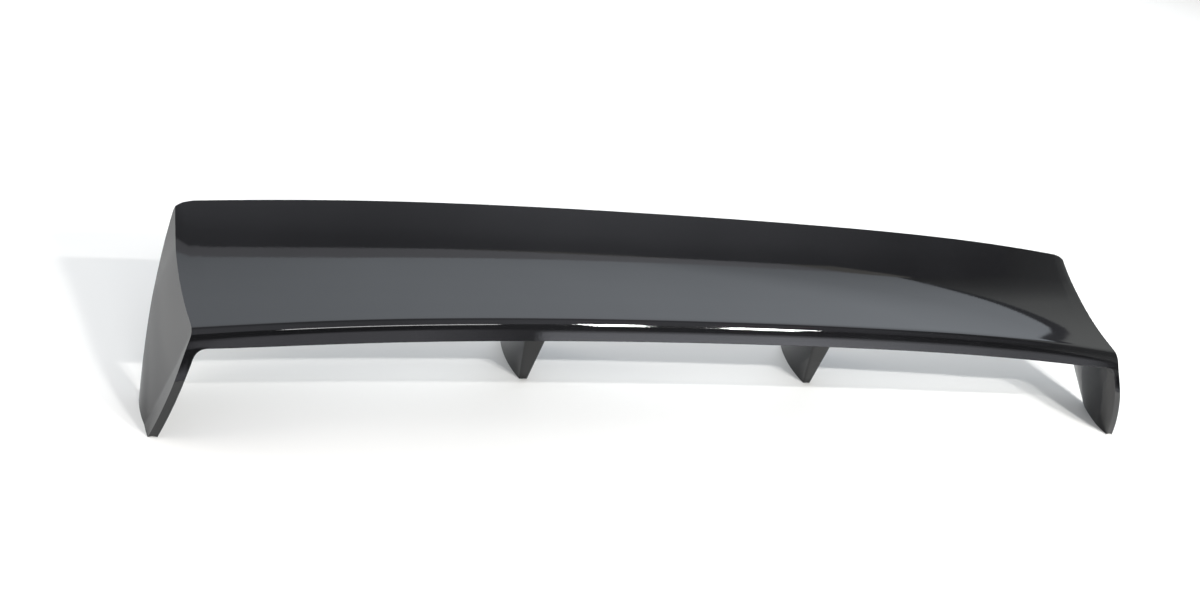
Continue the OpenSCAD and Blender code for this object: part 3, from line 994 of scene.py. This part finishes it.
FRONT_LEFT = card_material("front_left", (0.97, 0.97, 1.06, 1),
                           [(-3.0, 0.95), (0.6, 0.95), (1.6, 0.2)], "Z", [(0.8, 1.0), (1.6, 0.1)])
FRONT_LEFT_OUTLINE = [(-3.0, 0), (1.6, 0), (1.6, 1.6), (-3.0, 1.6)]
stage_sheet("front_left", upright(FRONT_LEFT_Y, FRONT_LEFT_OUTLINE), FRONT_LEFT)


def area_light(name, place, aim, width, height, power, colour=(1, 1, 1)):
    light = bpy.data.lights.new(name, "AREA")
    light.shape = "RECTANGLE"
    light.size = width
    light.size_y = height
    light.energy = power
    light.color = colour
    obj = bpy.data.objects.new(name, light)
    bpy.context.scene.collection.objects.link(obj)
    obj.location = place
    obj.rotation_euler = (Vector(aim) - Vector(place)).to_track_quat("-Z", "Y").to_euler()
    return obj


STRIP_Z = 2.2
STRIP_AIM_Y = -0.1
STRIP_AIM_Z = 0.13
# name, left end, right end, y, thickness, watts
STRIPS = (("strip_low_near", 0.95, 1.22, -2.48, 0.06, 36), ("strip_low_far", 1.65, 2.0, -2.48, 0.06, 56),
          ("strip_high_near", 0.7, 0.98, -1.72, 0.06, 16), ("strip_high_far", 1.38, 1.8, -1.72, 0.06, 22),
          ("strip_left", -0.75, 0.4, -2.1, 0.25, 10))
for light_name, x_low, x_high, y, thick, power in STRIPS:
    x = (x_low + x_high) / 2
    area_light(light_name, (x, y, STRIP_Z), (x, STRIP_AIM_Y, STRIP_AIM_Z), x_high - x_low, thick, power)
area_light("left_fill", place=(-5.5, 0.6, 3.2), aim=(0, 0, 0), width=3.0, height=2.5, power=135,
           colour=(1, 0.97, 0.92))

WORLD_COLOUR = (1.0, 0.968, 0.9, 1)
WORLD_LEVEL = 0.62
world = bpy.data.worlds.new("studio")
bpy.context.scene.world = world
world.use_nodes = True
world.node_tree.nodes["Background"].inputs["Color"].default_value = WORLD_COLOUR
world.node_tree.nodes["Background"].inputs["Strength"].default_value = WORLD_LEVEL

# ---------------------------------------------------------------- camera

CAMERA_AT = Vector((-0.7146, -1.1199 - MIDDLE_Y * MM, 0.8774))
CAMERA_RIGHT = Vector((0.92585, -0.29899, 0.23111))
CAMERA_UP = Vector((-0.03669, 0.53755, 0.84243))
CAMERA_BACK = Vector((-0.37611, -0.78845, 0.48671))
camera = bpy.data.cameras.new("camera")
camera.lens = 39.0
camera.sensor_width = 36.0
camera.clip_start = 0.05
camera_object = bpy.data.objects.new("camera", camera)
bpy.context.scene.collection.objects.link(camera_object)
turn = Matrix((CAMERA_RIGHT, CAMERA_UP, CAMERA_BACK)).transposed().to_4x4()
camera_object.matrix_world = Matrix.Translation(CAMERA_AT) @ turn
bpy.context.scene.camera = camera_object

bpy.context.scene.view_settings.view_transform = "Standard"

bpy.context.view_layer.update()
